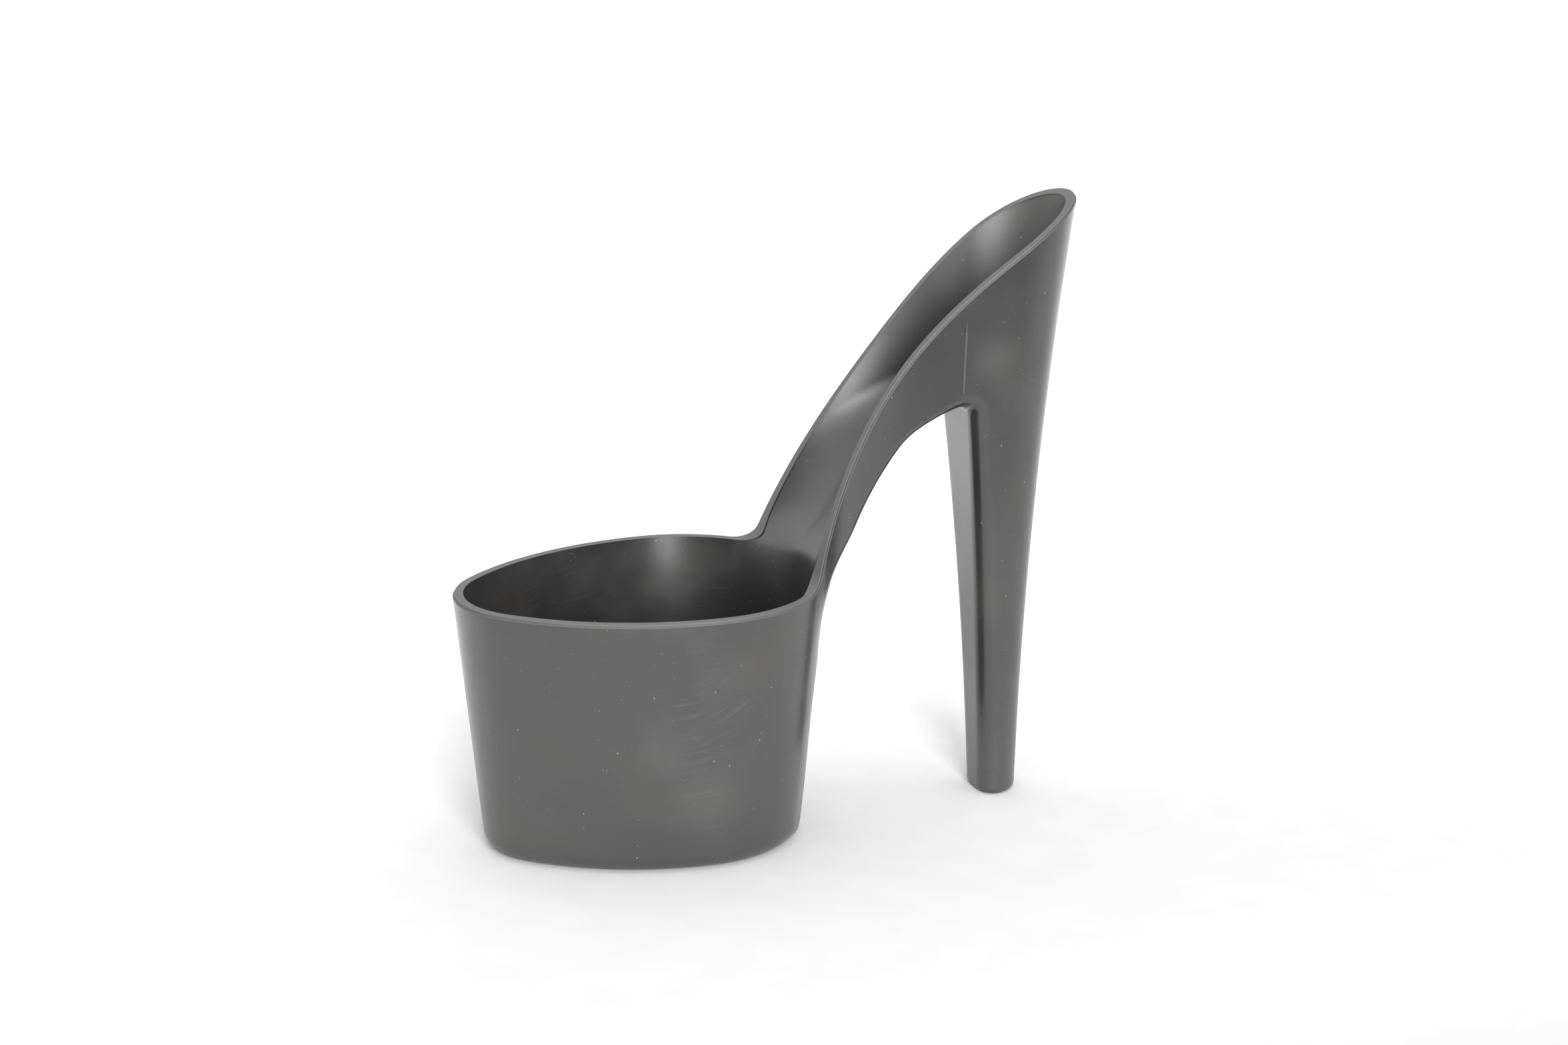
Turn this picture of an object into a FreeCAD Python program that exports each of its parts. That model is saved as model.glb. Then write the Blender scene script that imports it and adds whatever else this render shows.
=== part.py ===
import FreeCAD, Part
import math
import os

# High-heeled platform shoe container: one thin-walled plastic moulding, open at the top.
# Millimetres. +Z is up, the toe points to -X, the heel to +X, and y = 0 is the plane of symmetry.
# The origin is at the middle of the footprint of the bounding box, on the surface it stands on.
# The moulding is drawn as four regions that meet face to face on flat planes.

V = FreeCAD.Vector

# Walls and edges
WALL = 2.8
BASE_EDGE_RADIUS = 5.4
BASE_INNER_RADIUS = 3.0
TIP_EDGE_RADIUS = 2.0
TIP_FLOOR = 4.0
HEEL_CORNER_RADIUS = 3.5
HEEL_INNER_CORNER_RADIUS = 0.8

# Platform tub, its outline measured at the level rim
TOE_X = -102.5
TUB_RIM_Z = 84.0
TUB_DRAFT = 8.2 / 84.0
WIDEST_X = -29.0
TUB_HALF_WIDTH = 47.8
SIDE_RADIUS = 92.0
SHOULDER_RADIUS = 45.0
REAR_X = 14.8

# Waist and heel, measured at the height of the tub rim
WAIST_X = 45.8
WAIST_HALF_WIDTH = 11.6
WAIST_RADIUS = 50.0
HEEL_WIDE_X = 75.5

# Heel: half width, back and breast at z = 0, 100 and 200, joined by a quadratic curve
HEEL_HALF_WIDTH = (9.45, 14.15, 23.3)
HEEL_BACK_X = (85.8, 90.97, 102.5)
HEEL_BREAST_X = (71.6, 66.2, 56.0)

# Side profile: the rim rises on one arc, and the underside of the arch follows another
TOP_Z = 200.0
RIM_ARC_RADIUS = 189.0
RIM_ARC_X = 186.3
RIM_FILLET = 8.0
UNDER_ARC_RADIUS = 140.9
UNDER_ARC_X = 147.5
UNDER_ARC_Z = 32.9
CROTCH_Z = 135.5
CROTCH_FRONT_RADIUS = 12.0
CROTCH_BACK_RADIUS = 4.0

# Planes where the regions of the moulding meet, and construction limits outside the shape
ARCH_START_X = 14.5
HEEL_START_X = 57.5
STEM_TOP_Z = CROTCH_Z - CROTCH_BACK_RADIUS
LOW_Z = 66.0
LOW_TAPER = 8.0
FRONT_X = -8.0
HIGH_Z = TOP_Z + 4.0
AFT_LEVELS = (84.0, 114.0, 144.0, 174.0, HIGH_Z)
STEM_LEVELS = (0.0, 33.0, 66.0, 99.0, STEM_TOP_Z)
REACH = 130.0


def quadratic(z, values):
    """The curve through three values given at z = 0, 100 and 200."""
    t = z / 100.0
    low, middle, high = values
    return low * (1 - t) * (2 - t) / 2 + middle * t * (2 - t) + high * t * (t - 1) / 2


def spread(z):
    """How far the walls stand outside their outline at the tub rim, at height z."""
    if z < TUB_RIM_Z:
        return (z - TUB_RIM_Z) * TUB_DRAFT
    return quadratic(z, HEEL_HALF_WIDTH) - quadratic(TUB_RIM_Z, HEEL_HALF_WIDTH)


def flare_normal():
    """Outward normal of the line that touches the shoulder arc and the waist arc."""
    dx = WAIST_X - WIDEST_X
    dy = (WAIST_HALF_WIDTH + WAIST_RADIUS) - (TUB_HALF_WIDTH - SHOULDER_RADIUS)
    angle = math.atan2(dy, dx)
    swing = math.acos((SHOULDER_RADIUS + WAIST_RADIUS) / math.hypot(dx, dy))
    return V(math.cos(angle + swing), math.sin(angle + swing), 0)


FLARE = flare_normal()
SHOULDER_CENTRE = V(WIDEST_X, TUB_HALF_WIDTH - SHOULDER_RADIUS, 0)
WAIST_CENTRE = V(WAIST_X, WAIST_HALF_WIDTH + WAIST_RADIUS, 0)
SIDE_CENTRE = V(WIDEST_X, TUB_HALF_WIDTH - SIDE_RADIUS, 0)


def nose_radius():
    """Radius of the toe arc that touches both side arcs from inside."""
    run = WIDEST_X - TOE_X
    return (SIDE_RADIUS**2 - SIDE_CENTRE.y**2 - run**2) / (2 * (SIDE_RADIUS - run))


def mirrored(points):
    return [V(p.x, -p.y, p.z) for p in points]


def arc(centre, radius, start, end):
    """The short arc about centre between the directions of start and end, as three points."""
    a = (start - centre).normalize()
    b = (end - centre).normalize()
    middle = (a + b).normalize()
    return [centre + a * radius, centre + middle * radius, centre + b * radius]


def edge(points):
    """A line through two points or an arc through three."""
    if len(points) == 2:
        return Part.LineSegment(*points).toShape()
    return Part.Arc(*points).toShape()


def raised(wire_edges, z):
    wire = Part.Wire(Part.__sortEdges__(wire_edges))
    wire.translate(V(0, 0, z))
    return wire


def tub_outline(z, wall):
    """Closed outline of the tub at height z, moved inwards by wall."""
    out = (z - TUB_RIM_Z) * TUB_DRAFT - wall
    nose = V(TOE_X + nose_radius(), 0, 0)
    to_side = nose + (nose - SIDE_CENTRE)
    widest = V(WIDEST_X, TUB_HALF_WIDTH, 0)
    nose_arc = arc(nose, nose_radius() + out, to_side, V(to_side.x, -to_side.y, 0))
    nose_arc[1] = nose - V(nose_radius() + out, 0, 0)
    side_arc = arc(SIDE_CENTRE, SIDE_RADIUS + out, to_side, widest)
    shoulder_arc = arc(SHOULDER_CENTRE, SHOULDER_RADIUS + out, widest, SHOULDER_CENTRE + FLARE)
    rear_end = shoulder_arc[2]
    rear_arc = [rear_end, V(REAR_X + out, 0, 0), V(rear_end.x, -rear_end.y, 0)]
    edges = [edge(nose_arc), edge(rear_arc)]
    edges += [edge(points) for points in (side_arc, shoulder_arc)]
    edges += [edge(mirrored(points)) for points in (side_arc, shoulder_arc)]
    return raised(edges, z)


def heel_back_edges(z, wall, half_width):
    """Half ellipse round the back of the heel, in two quarters."""
    depth = quadratic(z, HEEL_BACK_X) - HEEL_WIDE_X - wall
    ellipse = Part.Ellipse(V(HEEL_WIDE_X, 0, 0), depth, half_width)
    quarter = math.pi / 2
    return [
        Part.ArcOfEllipse(ellipse, 0, quarter).toShape(),
        Part.ArcOfEllipse(ellipse, -quarter, 0).toShape(),
    ]


def aft_outline(z, wall):
    """Outline behind FRONT_X at height z: shoulder, flare, waist and heel."""
    out = spread(z) - wall
    shoulder = SHOULDER_RADIUS + out
    front = V(FRONT_X, SHOULDER_CENTRE.y + math.sqrt(shoulder**2 - (FRONT_X - WIDEST_X) ** 2), 0)
    waist = V(WAIST_X, WAIST_HALF_WIDTH + out, 0)
    wide = V(HEEL_WIDE_X, quadratic(TUB_RIM_Z, HEEL_HALF_WIDTH) + out, 0)
    shoulder_arc = arc(SHOULDER_CENTRE, shoulder, front, SHOULDER_CENTRE + FLARE)
    waist_arc = arc(WAIST_CENTRE, WAIST_RADIUS - out, WAIST_CENTRE - FLARE, waist)
    half = [shoulder_arc, [shoulder_arc[2], waist_arc[0]], waist_arc, [waist, wide]]
    edges = [edge([front, *mirrored([front])])]
    edges += [edge(points) for points in half]
    edges += [edge(mirrored(points)) for points in half]
    edges += heel_back_edges(z, wall, wide.y)
    return raised(edges, z)


def stem_outline(z, wall, corner_radius):
    """D-shaped outline of the heel at height z, with its flat side to the toe."""
    front = quadratic(z, HEEL_BREAST_X) + wall
    half_width = quadratic(z, HEEL_HALF_WIDTH) - wall
    centre = V(front + corner_radius, half_width - corner_radius, 0)
    side = V(centre.x, half_width, 0)
    face = V(front, centre.y, 0)
    half = [arc(centre, corner_radius, face, side), [side, V(HEEL_WIDE_X, half_width, 0)]]
    edges = [edge([face, *mirrored([face])])]
    edges += [edge(points) for points in half]
    edges += [edge(mirrored(points)) for points in half]
    edges += heel_back_edges(z, wall, half_width)
    return raised(edges, z)


def loft(wires, ruled=False):
    return Part.makeLoft(wires, True, ruled)


def box(x0, x1, z0, z1):
    """A block over the whole width between the limits given."""
    return Part.makeBox(x1 - x0, 2 * REACH, z1 - z0, V(x0, -REACH, z0))


def side_prism(segments):
    """A profile in the XZ plane, drawn across the whole width."""
    wire = Part.Wire([edge(points) for points in segments])
    face = Part.Face(wire)
    face.translate(V(0, -REACH, 0))
    return face.extrude(V(0, 2 * REACH, 0))


def above_rim():
    """Everything above the rim: level over the tub, then up the arc to the back of the heel."""
    rise = TOP_Z - math.sqrt(RIM_ARC_RADIUS**2 - (RIM_ARC_X - HEEL_BACK_X[2]) ** 2)
    centre = V(RIM_ARC_X, 0, rise)
    fillet_z = TUB_RIM_Z + RIM_FILLET
    reach = math.sqrt((RIM_ARC_RADIUS + RIM_FILLET) ** 2 - (fillet_z - rise) ** 2)
    fillet = V(RIM_ARC_X - reach, 0, fillet_z)
    level = V(fillet.x, 0, TUB_RIM_Z)
    turn = arc(fillet, RIM_FILLET, level, centre)
    end = V(HEEL_BACK_X[2] + WALL, 0, 0)
    end.z = rise + math.sqrt(RIM_ARC_RADIUS**2 - (RIM_ARC_X - end.x) ** 2)
    ramp = arc(centre, RIM_ARC_RADIUS, turn[2], end)
    top = HIGH_Z + WALL
    segments = [[V(-REACH, 0, TUB_RIM_Z), level], turn, ramp]
    segments += [[ramp[2], V(end.x, 0, top)], [V(end.x, 0, top), V(-REACH, 0, top)]]
    segments += [[V(-REACH, 0, top), V(-REACH, 0, TUB_RIM_Z)]]
    return side_prism(segments)


def under_arch(grow):
    """The air under the arch in front of the heel, grown by a wall thickness if asked."""
    arch = V(UNDER_ARC_X, 0, UNDER_ARC_Z)
    front_radius = CROTCH_FRONT_RADIUS
    front_z = CROTCH_Z - front_radius
    reach = math.sqrt((UNDER_ARC_RADIUS - front_radius) ** 2 - (front_z - arch.z) ** 2)
    front = V(arch.x - reach, 0, front_z)
    back = V(quadratic(STEM_TOP_Z, HEEL_BREAST_X) - CROTCH_BACK_RADIUS, 0, STEM_TOP_Z)
    start = V(arch.x - math.sqrt((UNDER_ARC_RADIUS + grow) ** 2 - (LOW_Z - arch.z) ** 2), 0, LOW_Z)
    rise = arc(arch, UNDER_ARC_RADIUS + grow, start, front)
    front_turn = arc(front, front_radius + grow, arch + (front - arch) * 2, front + V(0, 0, 1))
    back_turn = arc(back, CROTCH_BACK_RADIUS + grow, back + V(0, 0, 1), back + V(1, 0, 0))
    end = V(back_turn[2].x, 0, LOW_Z)
    segments = [rise, front_turn, [front_turn[2], back_turn[0]], back_turn]
    segments += [[back_turn[2], end], [end, start]]
    return side_prism(segments)


def tub_body(wall):
    """Tub between its floor and the level rim, with a rounded bottom edge."""
    floor = wall
    body = loft([tub_outline(floor, wall), tub_outline(TUB_RIM_Z, wall)], ruled=True)
    radius = BASE_INNER_RADIUS if wall else BASE_EDGE_RADIUS
    bottom = [e for e in body.Edges if e.BoundBox.ZMax < floor + 0.01]
    return body.makeFillet(radius, bottom)


def aft_body(wall):
    """Flare, arch and upper heel, down to the air under the arch."""
    upper = loft([aft_outline(z, wall) for z in AFT_LEVELS])
    lower_wires = [aft_outline(LOW_Z, wall + LOW_TAPER), aft_outline(TUB_RIM_Z, wall)]
    lower = loft(lower_wires, ruled=True)
    return upper.fuse(lower).cut(under_arch(wall))


def stem_body(wall, corner_radius, floor):
    levels = [max(z, floor) for z in STEM_LEVELS]
    return loft([stem_outline(z, wall, corner_radius) for z in levels])


def heel_stem():
    outer = stem_body(0.0, HEEL_CORNER_RADIUS, 0.0)
    bottom = [e for e in outer.Edges if e.BoundBox.ZMax < 0.01]
    outer = outer.makeFillet(TIP_EDGE_RADIUS, bottom)
    return outer.cut(stem_body(WALL, HEEL_INNER_CORNER_RADIUS, TIP_FLOOR))


def build():
    rim_cut = above_rim()
    aft_outer = aft_body(0.0)
    aft_inner = aft_body(WALL)
    aft_shell = aft_outer.cut(aft_inner).cut(rim_cut)
    tub_inner = tub_body(WALL)
    front = box(FRONT_X, ARCH_START_X, LOW_Z, HIGH_Z)
    tub_shell = tub_body(0.0).fuse(aft_outer.common(front).cut(rim_cut))
    tub_shell = tub_shell.cut(tub_inner).cut(aft_inner)
    return {
        "platform_tub": tub_shell,
        "arch_channel": aft_shell.common(box(ARCH_START_X, HEEL_START_X, LOW_Z, HIGH_Z)),
        "heel_cup": aft_shell.common(box(HEEL_START_X, REACH, STEM_TOP_Z, HIGH_Z)),
        "heel_stem": heel_stem(),
    }


def main():
    os.makedirs("parts", exist_ok=True)
    for name, shape in build().items():
        solid = shape.removeSplitter()
        solid.exportStep("parts/" + name + ".step")
        size = solid.optimalBoundingBox()
        print(name, len(solid.Solids), "solid", solid.isValid(), round(solid.Volume), "mm3")
        print("  x", round(size.XMin, 2), round(size.XMax, 2), "y", round(size.YMax, 2))
        print("  z", round(size.ZMin, 2), round(size.ZMax, 2))


main()
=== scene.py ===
import math

import bmesh
import bpy
import numpy as np
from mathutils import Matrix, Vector


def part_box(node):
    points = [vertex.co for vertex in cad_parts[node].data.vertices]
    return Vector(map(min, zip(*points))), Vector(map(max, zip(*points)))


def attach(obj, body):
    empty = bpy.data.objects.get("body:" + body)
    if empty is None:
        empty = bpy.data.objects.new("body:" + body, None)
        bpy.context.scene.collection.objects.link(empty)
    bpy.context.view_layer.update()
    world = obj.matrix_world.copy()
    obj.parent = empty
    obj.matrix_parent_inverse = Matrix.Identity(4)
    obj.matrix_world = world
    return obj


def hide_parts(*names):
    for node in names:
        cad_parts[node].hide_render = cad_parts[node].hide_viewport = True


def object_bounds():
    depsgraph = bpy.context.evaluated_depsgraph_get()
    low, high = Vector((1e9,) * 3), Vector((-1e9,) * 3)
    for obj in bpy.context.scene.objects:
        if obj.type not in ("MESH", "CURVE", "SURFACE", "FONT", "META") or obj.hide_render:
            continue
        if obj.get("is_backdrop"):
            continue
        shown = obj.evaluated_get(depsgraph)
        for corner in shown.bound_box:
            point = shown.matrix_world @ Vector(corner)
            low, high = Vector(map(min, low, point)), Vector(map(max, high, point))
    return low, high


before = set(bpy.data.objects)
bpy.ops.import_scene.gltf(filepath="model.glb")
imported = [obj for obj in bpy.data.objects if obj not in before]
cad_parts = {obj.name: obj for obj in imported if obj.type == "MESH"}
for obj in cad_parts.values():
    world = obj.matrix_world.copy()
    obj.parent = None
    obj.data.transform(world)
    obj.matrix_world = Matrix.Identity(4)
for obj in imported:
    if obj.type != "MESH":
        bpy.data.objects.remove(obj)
bpy.context.view_layer.update()
CAD_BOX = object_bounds()

# A thin-walled black plastic container moulded as a high-heeled platform shoe. Millimetres until a mesh
# is made. +Z is up, the toe points to -X, and y = 0 is the plane of symmetry.
MM = 0.001


def node_box(node):
    """Lowest and highest corner of a CAD node in millimetres."""
    low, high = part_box(node)
    return np.array(low) / MM, np.array(high) / MM


TUB_LOW, TUB_HIGH = node_box("platform_tub")
ARCH_BACK_X = node_box("arch_channel")[1][0]
CUP_LOW, CUP_HIGH = node_box("heel_cup")
STEM_LOW, STEM_HIGH = node_box("heel_stem")

# Walls and edges
WALL = 2.8
TIP_FLOOR = 4.0
BREAST_EDGE_RADIUS = 6.0
BASE_EDGE_RADIUS = 5.4

# Platform tub, its outline measured at the level rim
TOE_X = TUB_LOW[0]
REAR_X = TUB_HIGH[0]
TUB_RIM_Z = 84.0
TUB_DRAFT = 8.2 / TUB_RIM_Z
WIDEST_X = -29.0
TUB_HALF_WIDTH = TUB_HIGH[1]
SIDE_RADIUS = 92.0
SHOULDER_RADIUS = 45.0
DRAFT_BLEND = 12.0

# Under the rim the flare at the tub's rear corners tapers in towards the tub
WING_TAPER = 0.6
WING_ROUND = 5.0

# Waist and heel, measured at the height of the tub rim
WAIST_X = 45.8
WAIST_HALF_WIDTH = 11.6
WAIST_RADIUS = 50.0
HEEL_WIDE_X = 75.5

# Heel: half width, back and breast at z = 0, 100 and 200, joined by a quadratic curve
TOP_Z = CUP_HIGH[2]
HEEL_HALF_WIDTH = (9.45, 14.15, 23.3)
HEEL_BACK_X = (85.8, 90.97, CUP_HIGH[0])
HEEL_BREAST_X = (71.6, 66.2, 56.0)

# Side profile: the rim rises on one arc, and the underside of the arch follows another
RIM_ARC_RADIUS = 189.0
RIM_ARC_X = 186.3
RIM_FILLET = 8.0
UNDER_ARC = (147.5, 32.9, 140.9)
CROTCH_Z = 135.5
CROTCH_FRONT_RADIUS = 12.0
CROTCH_BACK_RADIUS = CROTCH_Z - STEM_HIGH[2]
BEHIND_TUB_X = 40.0

# Beside the tub's rear corners the underside is tucked in. It fades out between each pair of heights.
TUCK = 3.0
TUCK_ABOVE = (100.0, TUB_RIM_Z)
TUCK_BELOW = (52.0, 74.0)

# Rim: a lip inset a little above a parting line, a rounded outer edge and a crisp inner edge
LIP_HEIGHT = 1.0
LIP_INSET = 0.45
LIP_ROUND = 0.35
LEDGE_HEIGHT = 0.24
INNER_ROUND = 0.3

# Mesh
GRID = 1.2
MARGIN = 3.0
RELAX_ROUNDS = 14
SNAP = 0.12
RELAX_SHARE = 0.6
RIM_SLOT = 1
INSIDE_SLOT = 2


def quadratic(z, values):
    """The curve through three values given at z = 0, 100 and 200."""
    t = z / 100.0
    low, middle, high = values
    return low * (1 - t) * (2 - t) / 2 + middle * t * (2 - t) + high * t * (t - 1) / 2


def ramp(x, start, end):
    """0 before start, 1 after end, and smooth between them."""
    t = np.clip((x - start) / (end - start), 0, 1)
    return t * t * (3 - 2 * t)


def both(a, b, radius):
    """What is inside two fields, with the edge between them rounded."""
    corner = np.hypot(np.maximum(a + radius, 0), np.maximum(b + radius, 0))
    return np.minimum(np.maximum(a, b), -radius) + corner


# Points of the outline at the tub rim that follow from the dimensions
SIDE_Y = TUB_HALF_WIDTH - SIDE_RADIUS
SHOULDER_Y = TUB_HALF_WIDTH - SHOULDER_RADIUS
WAIST_Y = WAIST_HALF_WIDTH + WAIST_RADIUS
NOSE_RUN = WIDEST_X - TOE_X
NOSE_RADIUS = (SIDE_RADIUS**2 - SIDE_Y**2 - NOSE_RUN**2) / (2 * (SIDE_RADIUS - NOSE_RUN))
NOSE_X = TOE_X + NOSE_RADIUS
HEEL_WIDTH_AT_RIM = quadratic(TUB_RIM_Z, HEEL_HALF_WIDTH)


def flare_normal():
    """Outward normal of the line that touches the shoulder arc and the waist arc."""
    dx = WAIST_X - WIDEST_X
    dy = WAIST_Y - SHOULDER_Y
    swing = math.acos((SHOULDER_RADIUS + WAIST_RADIUS) / math.hypot(dx, dy))
    angle = math.atan2(dy, dx) + swing
    return math.cos(angle), math.sin(angle)


FLARE = flare_normal()


def outline(x, y):
    """Distance outside the outline at the tub rim, from the toe to the widest part of the heel."""
    nose = np.hypot(x - NOSE_X, y) - NOSE_RADIUS
    side = np.hypot(x - WIDEST_X, y - SIDE_Y) - SIDE_RADIUS
    shoulder = np.hypot(x - WIDEST_X, y - SHOULDER_Y) - SHOULDER_RADIUS
    flare = (x - WIDEST_X) * FLARE[0] + (y - SHOULDER_Y) * FLARE[1] - SHOULDER_RADIUS
    waist = WAIST_RADIUS - np.hypot(x - WAIST_X, y - WAIST_Y)
    growth = (HEEL_WIDTH_AT_RIM - WAIST_HALF_WIDTH) * ramp(x, WAIST_X, HEEL_WIDE_X)
    heel = y - WAIST_HALF_WIDTH - growth
    in_nose = (x - NOSE_X) * -SIDE_Y < y * (NOSE_X - WIDEST_X)
    before_flare = (x - WIDEST_X) * FLARE[1] < (y - SHOULDER_Y) * FLARE[0]
    before_waist = (x - WAIST_X) * FLARE[1] < (y - WAIST_Y) * FLARE[0]
    places = [in_nose, x < WIDEST_X, before_flare, before_waist, x < WAIST_X]
    return np.select(places, [nose, side, shoulder, flare, waist], heel)


def heel_back(x, y, z, wall):
    """Distance outside the half ellipse round the back of the heel."""
    depth = quadratic(z, HEEL_BACK_X) - HEEL_WIDE_X - wall
    width = quadratic(z, HEEL_HALF_WIDTH) - wall
    u = np.maximum(x - HEEL_WIDE_X, 0)
    near = np.hypot(u / depth, y / width)
    slope = np.hypot(u / depth**2, y / width**2)
    return near * (near - 1) / np.maximum(slope, 1e-6)


def side_wall(x, y, z, wall):
    """Distance outside the side walls, moved inwards by wall."""
    above = quadratic(z, HEEL_HALF_WIDTH) - HEEL_WIDTH_AT_RIM
    below = (z - TUB_RIM_Z) * TUB_DRAFT
    draft = np.where(x < BEHIND_TUB_X, ramp(z, TUB_RIM_Z + DRAFT_BLEND, TUB_RIM_Z - DRAFT_BLEND), 0)
    spread = above + (below - above) * draft
    walls = outline(x, y) - spread + wall
    return np.where(x > HEEL_WIDE_X, heel_back(x, y, z, wall), walls)


def rear_wall(x, y, z, wall):
    """Distance behind the curved rear wall of the tub."""
    corner_x = WIDEST_X + SHOULDER_RADIUS * FLARE[0]
    corner_y = SHOULDER_Y + SHOULDER_RADIUS * FLARE[1]
    sag = REAR_X - corner_x
    radius = (corner_y**2 + sag**2) / (2 * sag)
    behind = np.hypot(x - REAR_X + radius, y) - radius - (z - TUB_RIM_Z) * TUB_DRAFT + wall
    return np.where(x > WIDEST_X, behind, -SHOULDER_RADIUS)


def under_side(x, z, wall):
    """Distance into the air under the arch and in front of the heel."""
    arc_x, arc_z, arc_radius = UNDER_ARC
    tuck = TUCK * ramp(z, *TUCK_ABOVE) * ramp(z, *TUCK_BELOW)
    arch = np.hypot(x - arc_x, z - arc_z) - arc_radius - wall - tuck
    crotch = z - CROTCH_Z - wall
    breast = x - quadratic(z, HEEL_BREAST_X) - wall
    air = both(arch, crotch, CROTCH_FRONT_RADIUS + wall)
    return -both(air, breast, CROTCH_BACK_RADIUS + wall)


def merged(a, b, reach):
    """The smaller of two fields that cross at a shallow angle, blended where they are within reach."""
    overlap = np.maximum(reach - np.abs(a - b), 0) / reach
    return np.minimum(a, b) - overlap**2 * reach / 4


def solid(x, y, z, wall, shape):
    """Field of the closed form, negative inside: the outer skin, or the hollow if wall is given."""
    y = np.abs(y)
    in_front = x < BEHIND_TUB_X
    rear = rear_wall(x, y, z, wall)
    under_rim = np.where(in_front, np.maximum(TUB_RIM_Z - z, 0), 0)
    taper = WING_TAPER * under_rim**2 / (under_rim + WING_ROUND)
    sides = side_wall(x, y, z, wall) + taper * ramp(rear, 0, WING_ROUND)
    end = merged(rear, under_side(x, z, wall), shape["blend"])
    growth = ramp(x, ARCH_BACK_X - CROTCH_FRONT_RADIUS, ARCH_BACK_X + BREAST_EDGE_RADIUS)
    edge = shape["arch"] + (shape["breast"] - shape["arch"]) * growth
    walls = both(sides, end, edge)
    lowest = np.where(in_front, wall, shape["floor"])
    return both(walls, lowest - z, np.where(in_front, shape["base"], shape["tip"]))


# Radii of the edges, the reach of the blend behind the tub, and the height of the heel's lowest face
OUTER = {
    "blend": 4.0,
    "arch": 2.4,
    "breast": BREAST_EDGE_RADIUS,
    "base": BASE_EDGE_RADIUS,
    "tip": 2.0,
    "floor": 0.0,
}
INNER = {
    "blend": 4.0,
    "arch": 11.0,
    "breast": 7.0,
    "base": 3.6,
    "tip": 2.0,
    "floor": TIP_FLOOR,
}


def outer_field(x, y, z):
    return solid(x, y, z, 0.0, OUTER)


def inner_field(x, y, z):
    return solid(x, y, z, WALL, INNER)


# The rim line in the side view: level, then a fillet, then the arc up to the back of the heel
RIM_ARC_Z = TOP_Z - math.sqrt(RIM_ARC_RADIUS**2 - (RIM_ARC_X - HEEL_BACK_X[2]) ** 2)
FILLET_Z = TUB_RIM_Z + RIM_FILLET
FILLET_X = RIM_ARC_X - math.sqrt((RIM_ARC_RADIUS + RIM_FILLET) ** 2 - (FILLET_Z - RIM_ARC_Z) ** 2)
FILLET_TO_ARC = np.array([RIM_ARC_X - FILLET_X, RIM_ARC_Z - FILLET_Z]) / (RIM_ARC_RADIUS + RIM_FILLET)


def above_rim(x, z):
    """Distance above the rim line, negative below it."""
    level = z - TUB_RIM_Z
    fillet = RIM_FILLET - np.hypot(x - FILLET_X, z - FILLET_Z)
    arc = np.hypot(x - RIM_ARC_X, z - RIM_ARC_Z) - RIM_ARC_RADIUS
    past = FILLET_TO_ARC[0] * (z - FILLET_Z) - FILLET_TO_ARC[1] * (x - FILLET_X)
    return np.select([x < FILLET_X, past < 0], [level, fillet], arc)


def rim_height(x, above):
    """Height of the line that runs parallel to the rim, a distance above it."""
    fillet_radius = RIM_FILLET - above
    level = np.full_like(x, TUB_RIM_Z) + above
    fillet = FILLET_Z - np.sqrt(np.maximum(fillet_radius**2 - (x - FILLET_X) ** 2, 0))
    arc = RIM_ARC_Z + np.sqrt(np.maximum((RIM_ARC_RADIUS + above) ** 2 - (x - RIM_ARC_X) ** 2, 0))
    end = FILLET_X + fillet_radius * FILLET_TO_ARC[0]
    return np.select([x < FILLET_X, x < end], [level, fillet], arc)


def rim_normal(x, z):
    """Direction away from the rim line in the side view, as three components."""
    step = 0.01
    along_x = above_rim(x + step, z) - above_rim(x - step, z)
    along_z = above_rim(x, z + step) - above_rim(x, z - step)
    normal = np.stack([along_x, np.zeros_like(x), along_z], axis=1)
    return normal / np.linalg.norm(normal, axis=1, keepdims=True)


def gradient(field, points):
    step = 0.02
    parts = []
    for axis in range(3):
        shift = np.zeros(3)
        shift[axis] = step
        parts.append(field(*(points + shift).T) - field(*(points - shift).T))
    return np.stack(parts, axis=1) / (2 * step)


def unit(vectors):
    return vectors / np.maximum(np.linalg.norm(vectors, axis=1, keepdims=True), 1e-9)


def project(field, points, rounds):
    """Moves points onto the surface where the field is zero."""
    for _ in range(rounds):
        slope = gradient(field, points)
        length = np.maximum((slope**2).sum(axis=1, keepdims=True), 1e-3)
        step = slope * field(*points.T)[:, None] / length
        points = points - np.clip(step, -GRID, GRID)
    return points


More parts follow.
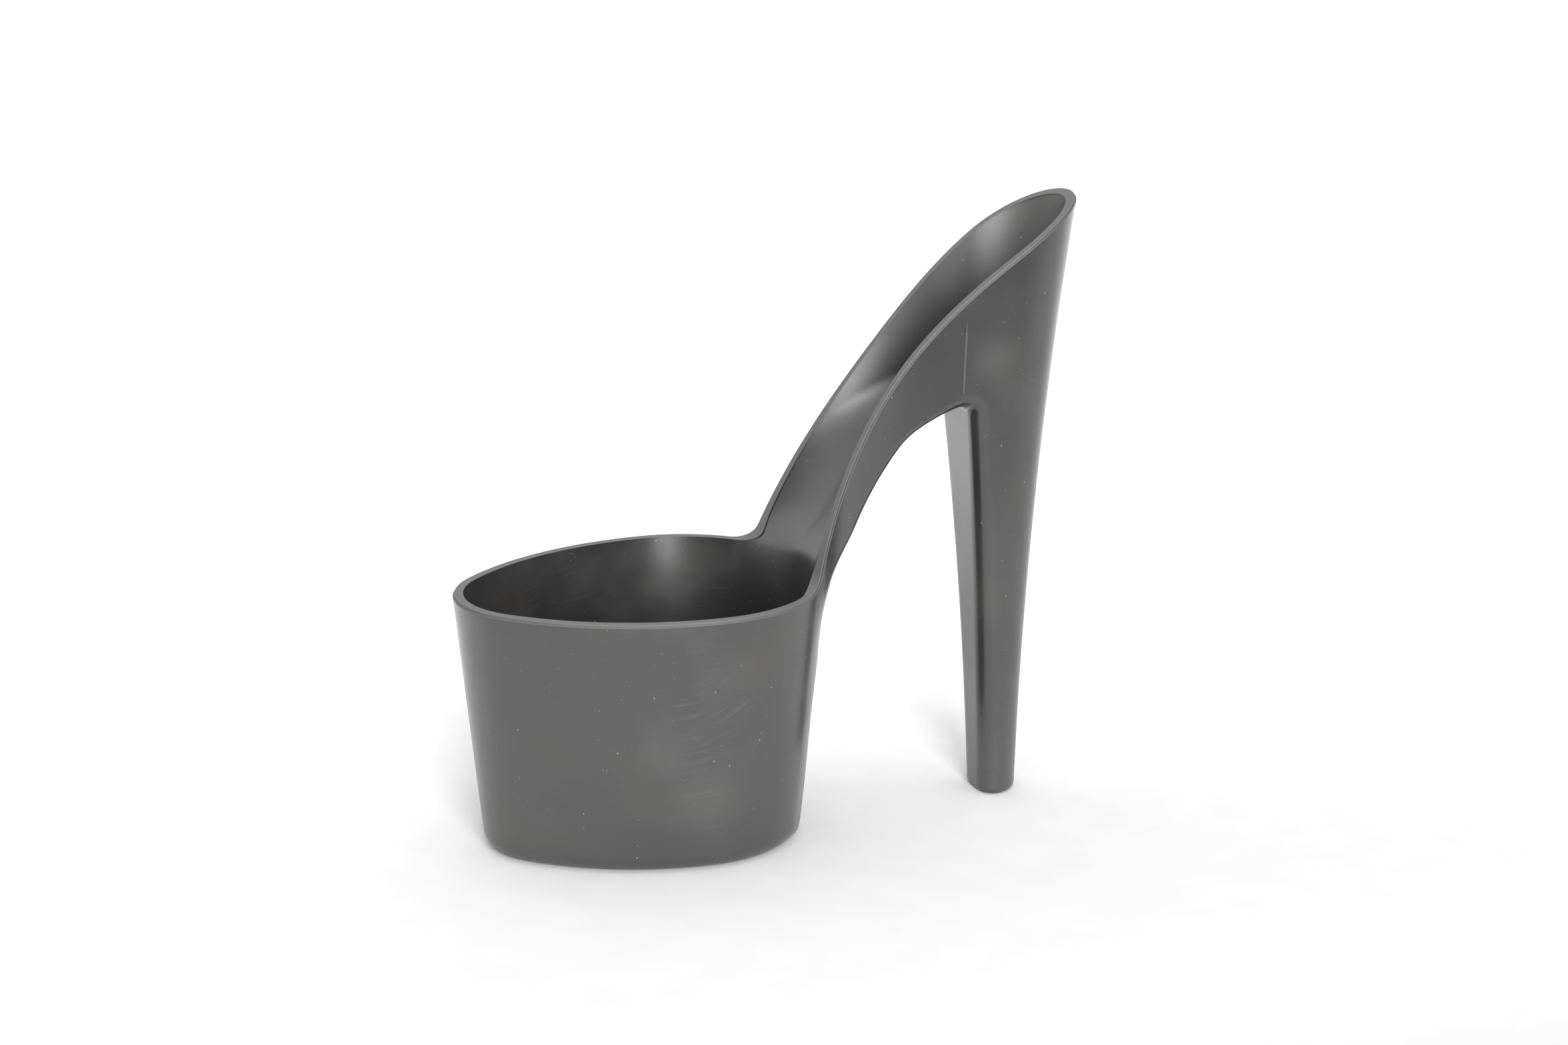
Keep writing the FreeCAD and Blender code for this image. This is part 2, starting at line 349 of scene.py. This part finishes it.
def surface_net(field):
    """Points and quads round the surface of a field, one point in each grid cell that it crosses."""
    low = np.min([TUB_LOW, CUP_LOW, STEM_LOW], axis=0) - MARGIN
    high = np.max([TUB_HIGH, CUP_HIGH, STEM_HIGH], axis=0) + MARGIN
    axes = [np.arange(a, b, GRID) for a, b in zip(low, high)]
    inside = np.stack([field(x, *np.meshgrid(*axes[1:], indexing="ij")) < 0 for x in axes[0]])
    count = np.zeros([n - 1 for n in inside.shape], dtype=np.int8)
    for i in (0, 1):
        for j in (0, 1):
            for k in (0, 1):
                ends = [n - 1 + s for n, s in zip(inside.shape, (i, j, k))]
                count += inside[i : ends[0], j : ends[1], k : ends[2]]
    crossed = (count > 0) & (count < 8)
    index = np.full(crossed.shape, -1)
    index[crossed] = np.arange(crossed.sum())
    points = low + (np.argwhere(crossed) + 0.5) * GRID
    quads = []
    for axis in range(3):
        order = (axis, (axis + 1) % 3, (axis + 2) % 3)
        cells = index.transpose(order)
        nodes = inside.transpose(order)[:, 1:-1, 1:-1]
        start, end = nodes[:-1], nodes[1:]
        corners = [cells[:, :-1, :-1], cells[:, 1:, :-1], cells[:, 1:, 1:], cells[:, :-1, 1:]]
        out = start & ~end
        back = ~start & end
        quads.append(np.stack([c[out] for c in corners], axis=1))
        quads.append(np.stack([c[back] for c in corners[::-1]], axis=1))
    return points, np.concatenate(quads)


def relax(field, points, quads):
    """Evens out the points along the surface."""
    pairs = np.concatenate([quads[:, [a, (a + 1) % 4]] for a in range(4)])
    pairs = np.concatenate([pairs, pairs[:, ::-1]])
    count = np.bincount(pairs[:, 0], minlength=len(points))[:, None]
    points = project(field, points, 4)
    for _ in range(RELAX_ROUNDS):
        sums = [np.bincount(pairs[:, 0], points[pairs[:, 1], a], len(points)) for a in range(3)]
        points = points + RELAX_SHARE * (np.stack(sums, axis=1) / count - points)
        points = project(field, points, 1)
    return project(field, points, 2)


def skin(field, depth):
    """Bmesh of a field's surface, open where it is cut along a line at a depth under the rim."""

    def capped(x, y, z):
        return np.maximum(field(x, y, z), above_rim(x, z) - MARGIN / 2)

    points, quads = surface_net(capped)
    points = relax(capped, points, quads)
    mesh = bmesh.new()
    flat = above_rim(points[:, 0], points[:, 2])
    verts = [mesh.verts.new((x, y, f)) for (x, y, _), f in zip(points, flat)]
    for quad in quads:
        mesh.faces.new([verts[i] for i in quad])
    geometry = mesh.verts[:] + mesh.edges[:] + mesh.faces[:]
    old = dict(zip(verts, points[:, 2]))
    bmesh.ops.bisect_plane(
        mesh, geom=geometry, dist=SNAP, plane_co=(0, 0, -depth), plane_no=(0, 0, 1), clear_outer=True
    )
    for vert in mesh.verts:
        if vert in old and not vert.is_boundary:
            vert.co.z = old[vert]
        else:
            vert.co.z = rim_height(np.array([vert.co.x]), -depth)[0]
    return mesh


def edge_loop(mesh):
    """Open edge of a mesh as vertices in order, from the toe round the -Y side first."""
    edges = [e for e in mesh.edges if e.is_boundary]
    beside = {}
    for e in edges:
        for vert, other in (e.verts, reversed(e.verts)):
            beside.setdefault(vert, []).append(other)
    start = min(beside, key=lambda v: v.co.x)
    loop = [start, min(beside[start], key=lambda v: v.co.y)]
    while True:
        ahead = [v for v in beside[loop[-1]] if v is not loop[-2]]
        if ahead[0] is start:
            return loop
        loop.append(ahead[0])


def outward(field, points):
    """Level direction out of the side wall at each point."""
    slope = gradient(field, points)
    slope[:, 2] = 0
    return unit(slope)


def rim_rows(points, out, profile):
    """Rows of points and normals round the rim. A profile entry is the distance moved inwards, the
    distance above the rim line, and the normal's outward and upward parts."""
    rows = []
    for inset, above, normal_out, normal_up in profile:
        row = points - out * inset
        row[:, 2] = rim_height(row[:, 0], above)
        up = rim_normal(row[:, 0], row[:, 2])
        rows.append((row, unit(out * normal_out + up * normal_up)))
    return rows


def rounded(inset, above, radius, start, end, steps=4):
    """Profile entries round a quarter circle between two directions in degrees, 0 outwards, 90 up."""
    entries = []
    for i in range(steps + 1):
        angle = math.radians(start + (end - start) * i / steps)
        x = math.cos(angle)
        z = math.sin(angle)
        entries.append((inset - radius * x, above + radius * z, x, z))
    return entries


def add_rows(mesh, normals, loop, rows, flip):
    """Joins rows of new points to an open edge and to each other. Returns the last row's vertices."""
    for points, directions in rows:
        new = [mesh.verts.new(p) for p in points]
        normals.update(zip(new, directions))
        for i in range(len(new)):
            j = (i + 1) % len(new)
            quad = [loop[i], loop[j], new[j], new[i]]
            face = mesh.faces.new(quad[::-1] if flip else quad)
            face.material_index = RIM_SLOT
        loop = new
    return loop


def zip_loops(mesh, outer, inner):
    """Fills the flat top of the rim between its outer and inner edges."""
    i = j = 0
    while i < len(outer) or j < len(inner):
        a, b = outer[i % len(outer)], inner[j % len(inner)]
        next_a, next_b = outer[(i + 1) % len(outer)], inner[(j + 1) % len(inner)]
        to_a = (next_a.co - b.co).length if i < len(outer) else math.inf
        to_b = (next_b.co - a.co).length if j < len(inner) else math.inf
        if to_a < to_b:
            face = mesh.faces.new([a, next_a, b])
            i += 1
        else:
            face = mesh.faces.new([a, next_b, b])
            j += 1
        face.material_index = RIM_SLOT


def outer_profile():
    """From the wall at the parting line up to the outer edge of the flat top."""
    top = rounded(LIP_INSET + LIP_ROUND, -LIP_ROUND, LIP_ROUND, 0, 90)
    edge = (LIP_INSET * 0.3, -LIP_HEIGHT + LEDGE_HEIGHT / 2, 0.6, 0.8)
    ledge = (LIP_INSET, -LIP_HEIGHT + LEDGE_HEIGHT * 2 / 3, 0.3, 0.95)
    foot = (LIP_INSET, -LIP_HEIGHT + LEDGE_HEIGHT, 1, 0)
    return [edge, ledge, foot] + top


def inner_profile():
    """From the inner wall up to the inner edge of the flat top, measured towards the hollow."""
    return rounded(-INNER_ROUND, -INNER_ROUND, INNER_ROUND, 0, 90, 3)[1:]


def join_skins():
    """One closed mesh of the moulding, with a direction for the shading at every vertex."""
    mesh = skin(outer_field, LIP_HEIGHT)
    normals = field_normals(mesh.verts, outer_field, 1)
    outer_loop = edge_loop(mesh)
    hollow = skin(inner_field, INNER_ROUND)
    moved = {v: mesh.verts.new(v.co) for v in hollow.verts}
    for face in hollow.faces:
        mesh.faces.new([moved[v] for v in reversed(face.verts)]).material_index = INSIDE_SLOT
    normals.update(field_normals(moved.values(), inner_field, -1))
    inner_loop = [moved[v] for v in edge_loop(hollow)]
    hollow.free()
    points = np.array([v.co for v in outer_loop])
    rows = rim_rows(points, outward(outer_field, points), outer_profile())
    outer_top = add_rows(mesh, normals, outer_loop, rows, False)
    points = np.array([v.co for v in inner_loop])
    rows = rim_rows(points, -outward(inner_field, points), inner_profile())
    inner_top = add_rows(mesh, normals, inner_loop, rows, True)
    zip_loops(mesh, outer_top, inner_top)
    return mesh, normals


def field_normals(verts, field, sign):
    verts = list(verts)
    points = np.array([v.co for v in verts])
    return dict(zip(verts, unit(gradient(field, points)) * sign))


def make_shell():
    """The whole moulding as one mesh object in metres."""
    mesh, normals = join_skins()
    mesh.verts.index_update()
    directions = [normals[v] for v in mesh.verts]
    bmesh.ops.scale(mesh, verts=mesh.verts, vec=(MM, MM, MM))
    data = bpy.data.meshes.new("shoe_shell")
    mesh.to_mesh(data)
    mesh.free()
    data.polygons.foreach_set("use_smooth", [True] * len(data.polygons))
    data.normals_split_custom_set_from_vertices(directions)
    shell = bpy.data.objects.new("shoe_shell", data)
    bpy.context.scene.collection.objects.link(shell)
    return shell


class Nodes:
    """A few words for wiring up a node tree."""

    def __init__(self, tree):
        self.tree = tree

    def add(self, kind, **settings):
        node = self.tree.nodes.new(kind)
        for name, value in settings.items():
            setattr(node, name, value)
        return node

    def link(self, source, target):
        self.tree.links.new(source, target)

    def put(self, socket, value):
        if isinstance(value, bpy.types.NodeSocket):
            self.link(value, socket)
        else:
            socket.default_value = value

    def math(self, operation, a, b=0.0):
        node = self.add("ShaderNodeMath", operation=operation)
        self.put(node.inputs[0], a)
        self.put(node.inputs[1], b)
        return node.outputs[0]

    def noise(self, vector, scale, detail=2.0):
        node = self.add("ShaderNodeTexNoise")
        self.link(vector, node.inputs["Vector"])
        node.inputs["Scale"].default_value = scale
        node.inputs["Detail"].default_value = detail
        return node.outputs["Fac"]

    def band(self, value, start, end, low=0.0, high=1.0):
        """Maps a value smoothly from start..end to low..high."""
        node = self.add("ShaderNodeMapRange", interpolation_type="SMOOTHSTEP")
        self.link(value, node.inputs["Value"])
        for name, number in (("From Min", start), ("From Max", end), ("To Min", low), ("To Max", high)):
            node.inputs[name].default_value = number
        return node.outputs[0]

    def split(self, vector):
        """The three components of a vector."""
        node = self.add("ShaderNodeSeparateXYZ")
        self.link(vector, node.inputs[0])
        return node.outputs[0], node.outputs[1], node.outputs[2]

    def stretch(self, vector, scale, tilt):
        """Tilts about Y by an angle in radians, then scales."""
        turn = self.add("ShaderNodeVectorRotate", rotation_type="Y_AXIS")
        self.link(vector, turn.inputs["Vector"])
        turn.inputs["Angle"].default_value = tilt
        node = self.add("ShaderNodeMapping")
        self.link(turn.outputs[0], node.inputs["Vector"])
        node.inputs["Scale"].default_value = scale
        return node.outputs[0]

    def mix(self, factor, a, b):
        node = self.add("ShaderNodeMix", data_type="RGBA")
        self.put(node.inputs["Factor"], factor)
        self.put(node.inputs[6], a)
        self.put(node.inputs[7], b)
        return node.outputs[2]


# Looks of the plastic: colours and roughness
DARK = (0.014, 0.014, 0.015, 1)
LESS_DARK = (0.020, 0.019, 0.018, 1)
# The pale film colour serves for dust and rubbing, and also for the painted sheen on the tub and on the
# rim.
DUST_AND_SHEEN_FILM = (0.055, 0.054, 0.053, 1)
DUST = (0.33, 0.33, 0.32, 1)
IOR = 1.55
ROUGHNESS = (0.19, 0.27)
RUBBED_ROUGHNESS = 0.3
DUST_ROUGHNESS = 0.25
DUST_COVER = 0.55
RIM_EXTRA_ROUGHNESS = 0.3
# The rim is painted paler: a painted sheen that stands in for the light its flat top catches.
RIM_PAINTED_SHEEN = 0.45
INSIDE_HAZE = 0.3

# Dust: cells in a metre, the size of a speck in its cell, and the share of cells that hold one
COARSE_DUST = (210.0, 0.055, 0.35)
FINE_DUST = (520.0, 0.075, 0.22)

# Size of the noises in cycles in a metre: slow clouds, rubbed patches, moulding grain
CLOUD_SCALE = 28.0
RUBBED_SCALE = 40.0
GRAIN_SCALE = 2600.0

# The film on the tub, partly dust and partly painted sheen that stands in for the light its walls reflect,
# fades out between these heights
DUST_AND_SHEEN_TOP = 110.0
DUST_AND_SHEEN_BOTTOM = 60.0
TUB_DUST_AND_SHEEN = 0.08
RUBBED_FILM = 0.25
WIPED_FILM = 0.5

# Arcs wiped on the near wall of the tub: the x and z of their common centre and of the patch they cover
FAN_CENTRE = (-46.0, 85.0)
FAN_PATCH = (-33.0, 53.0)
FAN_REACH = 27.0
ARCS_PER_METRE = 1300.0
ARC_BREAKS = 2.5

# Hairlines: the part of a noise that shows as lines, their stretch and tilt, and the patches they lie in
LINE_PEAKS = (0.56, 0.8)
HAIR_SCALE = 60.0
HAIR_STRETCH = (1.0, 1.0, 30.0)
HAIR_TILT = 0.15
HAIR_PATCH_SCALE = 45.0
HAIR_STRENGTH = 0.5

# The mould line and a smudge on the near side of the heel, by their x and z
WELD_X = 59.5
WELD_WIDTH = 0.45
WELD_LOW = (138.0, 142.0)
WELD_HIGH = (166.0, 158.0)
SMUDGE = (70.0, 151.0)
SMUDGE_REACH = 13.0
SMUDGE_STRENGTH = 0.5
WELD_STRENGTH = 1.2

# Fine bumps of the surface, with the depth in metres, and how high each kind stands in it
BUMP_DEPTH = 0.00003
BUMP_STRENGTH = 0.6
GRAIN_HEIGHT = 0.25
DUST_HEIGHT = 0.15
WAVE_HEIGHT = 6.0


def specks(nodes, vector, scale, size, share):
    """Small spots scattered over the surface: 1 on a spot and 0 elsewhere."""
    cells = nodes.add("ShaderNodeTexVoronoi")
    nodes.link(vector, cells.inputs["Vector"])
    cells.inputs["Scale"].default_value = scale
    spot = nodes.band(cells.outputs["Distance"], size, size * 0.5)
    split = nodes.add("ShaderNodeSeparateColor")
    nodes.link(cells.outputs["Color"], split.inputs[0])
    chosen = nodes.math("LESS_THAN", split.outputs[0], share)
    return nodes.math("MULTIPLY", spot, chosen)


def streaks(nodes, vector, scale, keep):
    """Fine broken hairlines along the peaks of a stretched noise."""
    line = nodes.band(nodes.noise(vector, scale, 1.0), *LINE_PEAKS)
    return nodes.math("MULTIPLY", line, keep)


def from_point(nodes, x, z, point):
    """How far across and how far up a place is from a point in the side view, and its distance."""
    across = nodes.math("SUBTRACT", x, point[0] * MM)
    up = nodes.math("SUBTRACT", z, point[1] * MM)
    square = nodes.math("ADD", nodes.math("MULTIPLY", across, across), nodes.math("MULTIPLY", up, up))
    return across, up, nodes.math("SQRT", square)


def blob(nodes, x, z, centre, reach):
    """1 at a centre in the side view, fading to 0 at a distance from it."""
    distance = from_point(nodes, x, z, centre)[2]
    return nodes.band(distance, reach * MM, 0.0)


def weld_line(nodes, x, z):
    """The faint upright line that the mould left above the crotch."""
    away = nodes.math("ABSOLUTE", nodes.math("SUBTRACT", x, WELD_X * MM))
    line = nodes.band(away, WELD_WIDTH * MM, 0.0)
    for start, end in (WELD_LOW, WELD_HIGH):
        line = nodes.math("MULTIPLY", line, nodes.band(z, start * MM, end * MM))
    return line


def wiped_arcs(nodes, x, y, z):
    """Arcs wiped on the near wall of the tub, all round one centre."""
    across, up, distance = from_point(nodes, x, z, FAN_CENTRE)
    rings = nodes.add("ShaderNodeCombineXYZ")
    nodes.link(nodes.math("MULTIPLY", distance, ARCS_PER_METRE), rings.inputs[0])
    nodes.link(nodes.math("MULTIPLY", nodes.math("ARCTAN2", up, across), ARC_BREAKS), rings.inputs[1])
    near = nodes.math("LESS_THAN", y, -TUB_HALF_WIDTH / 2 * MM)
    patch = nodes.math("MULTIPLY", near, blob(nodes, x, z, FAN_PATCH, FAN_REACH))
    return streaks(nodes, rings.outputs[0], 1.0, patch)


def heel_marks(nodes, x, y, z):
    """The smudge and the mould line on the near side of the heel."""
    smudge = nodes.math("MULTIPLY", blob(nodes, x, z, SMUDGE, SMUDGE_REACH), SMUDGE_STRENGTH)
    line = nodes.math("MULTIPLY", weld_line(nodes, x, z), WELD_STRENGTH)
    return nodes.math("MULTIPLY", nodes.math("ADD", smudge, line), nodes.math("LESS_THAN", y, 0.0))


def wiped_places(nodes, place, x, y, z):
    """Where the surface is wiped or hazed: arcs, nearly level hairlines, the smudge and the mould line."""
    keep = nodes.band(nodes.noise(place, HAIR_PATCH_SCALE), 0.5, 0.75, 0.0, HAIR_STRENGTH)
    hairs = streaks(nodes, nodes.stretch(place, HAIR_STRETCH, HAIR_TILT), HAIR_SCALE, keep)
    lines = nodes.math("ADD", wiped_arcs(nodes, x, y, z), hairs)
    return nodes.math("ADD", lines, heel_marks(nodes, x, y, z))


def plastic_colour(nodes, cloud, wear_and_sheen, dust):
    """Nearly black, paler where it is rubbed, where dust films it and where sheen is painted, with specks
    of dust.
    """
    base = nodes.mix(nodes.band(cloud, 0.3, 0.7), DARK, LESS_DARK)
    base = nodes.mix(wear_and_sheen, base, DUST_AND_SHEEN_FILM)
    return nodes.mix(nodes.math("MULTIPLY", dust, DUST_COVER), base, DUST)


def plastic_roughness(nodes, cloud, wear_and_sheen, dust, x, haze, extra):
    """Satin, duller where it is rubbed or dusty and where sheen is painted, with a haze that grows from
    the tub towards the heel.
    """
    rough = nodes.band(cloud, 0.25, 0.75, *ROUGHNESS)
    rough = nodes.math("ADD", rough, nodes.math("MULTIPLY", wear_and_sheen, RUBBED_ROUGHNESS))
    rough = nodes.math("ADD", rough, nodes.math("MULTIPLY", dust, DUST_ROUGHNESS))
    rough = nodes.math("ADD", rough, nodes.band(x, 0.0, BEHIND_TUB_X * MM, 0.0, haze))
    return nodes.math("ADD", rough, extra)


def plastic_bumps(nodes, place, cloud, dust):
    """Moulding grain, dust that stands up a little, and slow waves."""
    grain = nodes.math("MULTIPLY", nodes.noise(place, GRAIN_SCALE), GRAIN_HEIGHT)
    height = nodes.math("ADD", grain, nodes.math("MULTIPLY", dust, DUST_HEIGHT))
    height = nodes.math("ADD", height, nodes.math("MULTIPLY", cloud, WAVE_HEIGHT))
    bump = nodes.add("ShaderNodeBump")
    bump.inputs["Distance"].default_value = BUMP_DEPTH
    bump.inputs["Strength"].default_value = BUMP_STRENGTH
    nodes.link(height, bump.inputs["Height"])
    return bump.outputs[0]


def new_material(name):
    """A material with its node words and its shader."""
    material = bpy.data.materials.new(name)
    material.use_nodes = True
    return material, Nodes(material.node_tree), material.node_tree.nodes["Principled BSDF"]


def shell_material(name, extra_roughness=0.0, painted_sheen=0.0, haze=0.0):
    """Satin black moulded plastic with dust, hairlines, rubbed patches, painted sheen in the film on the
    tub, and more painted sheen where painted_sheen is given.
    """
    material, nodes, shader = new_material(name)
    place = nodes.add("ShaderNodeTexCoord").outputs["Object"]
    x, y, z = nodes.split(place)
    cloud = nodes.noise(place, CLOUD_SCALE, 3.0)
    patch = nodes.noise(place, RUBBED_SCALE, 3.0)
    dust = nodes.math("MAXIMUM", specks(nodes, place, *COARSE_DUST), specks(nodes, place, *FINE_DUST))
    film_and_sheen = nodes.band(z, DUST_AND_SHEEN_TOP * MM, DUST_AND_SHEEN_BOTTOM * MM, 0.0, TUB_DUST_AND_SHEEN)
    wiped = nodes.math("MULTIPLY", wiped_places(nodes, place, x, y, z), WIPED_FILM)
    # The film holds dust on the tub with painted sheen in it, the rim's painted sheen, and wiped marks.
    film_and_sheen = nodes.math("ADD", nodes.math("ADD", film_and_sheen, painted_sheen), wiped)
    wear_and_sheen = nodes.math("ADD", nodes.band(patch, 0.45, 0.85, 0.0, RUBBED_FILM), film_and_sheen)
    rough = plastic_roughness(nodes, cloud, wear_and_sheen, dust, x, haze, extra_roughness)
    nodes.link(plastic_colour(nodes, cloud, wear_and_sheen, dust), shader.inputs["Base Color"])
    nodes.link(rough, shader.inputs["Roughness"])
    nodes.link(plastic_bumps(nodes, place, cloud, dust), shader.inputs["Normal"])
    shader.inputs["Specular IOR Level"].default_value = 1.0
    shader.inputs["IOR"].default_value = IOR
    return material


def add_shell():
    """The shell, with a material each for its outside, its rim and its inside, in that order."""
    shell = make_shell()
    shell.data.materials.append(shell_material("satin_black_plastic"))
    # The rim's material carries a painted sheen: paler colour that stands in for the light on its flat
    # top.
    shell.data.materials.append(shell_material("dull_rim_plastic_painted_sheen", RIM_EXTRA_ROUGHNESS, RIM_PAINTED_SHEEN))
    shell.data.materials.append(shell_material("hazy_inside_plastic", haze=INSIDE_HAZE))
    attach(shell, "root")
    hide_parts("platform_tub", "arch_channel", "heel_cup", "heel_stem")


# Stage, light and camera, in metres. LOOKING is a level direction, roughly away from the camera, along
# which the surroundings change.
FLOOR_RADIUS = 3.9
FLOOR_BRIGHTNESS = 0.92
FLOOR_MOTTLE = (0.97, 1.0)
# The floor's tone is painted: painted shade far in front of the shoe, and painted brightness far behind it
# compared with the floor beside it.
FLOOR_FRONT = (-0.17, -0.42)
FLOOR_FRONT_PAINTED_SHADE = 0.45
FLOOR_BACK = (-0.12, 0.45)
FLOOR_NEAR_PAINTED_TONE = 0.54
WORLD_STRENGTH = 1.35
WORLD_AHEAD_DIM = 0.35
LOOKING = (0.5, 0.87)
MIDDLE = (0, 0, 0.1)
WINDOW_PLACE = (-0.3, -2.4, 0.9)
WINDOW_SIZE = (0.8, 1.7)
WINDOW_POWER = 115
SOFTBOX_PLACE = (0, 0.2, 1.8)
SOFTBOX_SIZE = (1.6, 1.6)
SOFTBOX_POWER = 8
CAMERA_PLACE = (-0.3324, -0.9588, 0.3985)
CAMERA_AZIMUTH = -19.4
CAMERA_ELEVATION = 16.45
LENS = 76.53
SENSOR_WIDTH = 36.0


def floor_material():
    """Matt white with a faint mottle and painted light and shade: painted brightest far behind the shoe,
    about half as bright beside it, and painted shade, darker still, far in front of it."""
    material, nodes, shader = new_material("pale_floor")
    place = nodes.add("ShaderNodeTexCoord").outputs["Object"]
    y = nodes.split(place)[1]
    mottle = nodes.band(nodes.noise(place, 60.0, 4.0), 0.3, 0.7, *FLOOR_MOTTLE)
    # Painted shade in front of the shoe and painted brightness behind it.
    front = nodes.band(y, *FLOOR_FRONT, 1.0, FLOOR_FRONT_PAINTED_SHADE)
    back = nodes.band(y, *FLOOR_BACK, FLOOR_NEAR_PAINTED_TONE, 1.0)
    tone = nodes.math("MULTIPLY", mottle, nodes.math("MULTIPLY", front, back))
    white = (FLOOR_BRIGHTNESS, FLOOR_BRIGHTNESS, FLOOR_BRIGHTNESS, 1)
    nodes.link(nodes.mix(tone, (0, 0, 0, 1), white), shader.inputs["Base Color"])
    shader.inputs["Roughness"].default_value = 0.9
    shader.inputs["Specular IOR Level"].default_value = 0.0
    return material


def add_floor():
    mesh = bmesh.new()
    bmesh.ops.create_circle(mesh, cap_ends=True, segments=96, radius=FLOOR_RADIUS)
    data = bpy.data.meshes.new("floor")
    mesh.to_mesh(data)
    mesh.free()
    floor = bpy.data.objects.new("floor", data)
    bpy.context.scene.collection.objects.link(floor)
    data.materials.append(floor_material())
    floor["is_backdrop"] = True


def add_world():
    """Bright surroundings, much darker low down behind the camera and a little darker opposite it."""
    world = bpy.data.worlds.new("studio")
    bpy.context.scene.world = world
    world.use_nodes = True
    nodes = Nodes(world.node_tree)
    background = world.node_tree.nodes["Background"]
    x, y, z = nodes.split(nodes.add("ShaderNodeTexCoord").outputs["Generated"])
    away = nodes.math("ADD", nodes.math("MULTIPLY", x, LOOKING[0]), nodes.math("MULTIPLY", y, LOOKING[1]))
    behind = nodes.math("MULTIPLY", nodes.band(away, -0.2, -0.8), nodes.band(z, 0.5, 0.1))
    ahead = nodes.math("MULTIPLY", nodes.band(away, 0.1, 0.7), nodes.band(z, 0.4, 0.1))
    dim = nodes.math("ADD", behind, nodes.math("MULTIPLY", ahead, WORLD_AHEAD_DIM))
    background.inputs["Color"].default_value = (1, 1, 1, 1)
    nodes.link(nodes.math("SUBTRACT", WORLD_STRENGTH, dim), background.inputs["Strength"])


def add_light(name, place, size, power):
    """A rectangular light that points at the middle of the shoe."""
    data = bpy.data.lights.new(name, "AREA")
    data.shape = "RECTANGLE"
    data.size, data.size_y = size
    data.energy = power
    light = bpy.data.objects.new(name, data)
    light.location = place
    light.rotation_euler = (Vector(MIDDLE) - Vector(place)).to_track_quat("-Z", "Y").to_euler()
    bpy.context.scene.collection.objects.link(light)


def add_lights():
    add_light("window", WINDOW_PLACE, WINDOW_SIZE, WINDOW_POWER)
    add_light("top_softbox", SOFTBOX_PLACE, SOFTBOX_SIZE, SOFTBOX_POWER)


def add_camera():
    camera = bpy.data.objects.new("camera", bpy.data.cameras.new("camera"))
    camera.data.lens = LENS
    camera.data.sensor_width = SENSOR_WIDTH
    camera.data.clip_start = 0.01
    camera.location = CAMERA_PLACE
    camera.rotation_euler = (math.radians(90 - CAMERA_ELEVATION), 0, math.radians(CAMERA_AZIMUTH))
    bpy.context.scene.collection.objects.link(camera)
    bpy.context.scene.camera = camera


bpy.context.scene.view_settings.view_transform = "Standard"
add_camera()
add_shell()
add_floor()
add_world()
add_lights()

bpy.context.view_layer.update()
boxes = {"cad_box": CAD_BOX, "visual_box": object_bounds()}
{name: [list(corner) for corner in box] for name, box in boxes.items()}
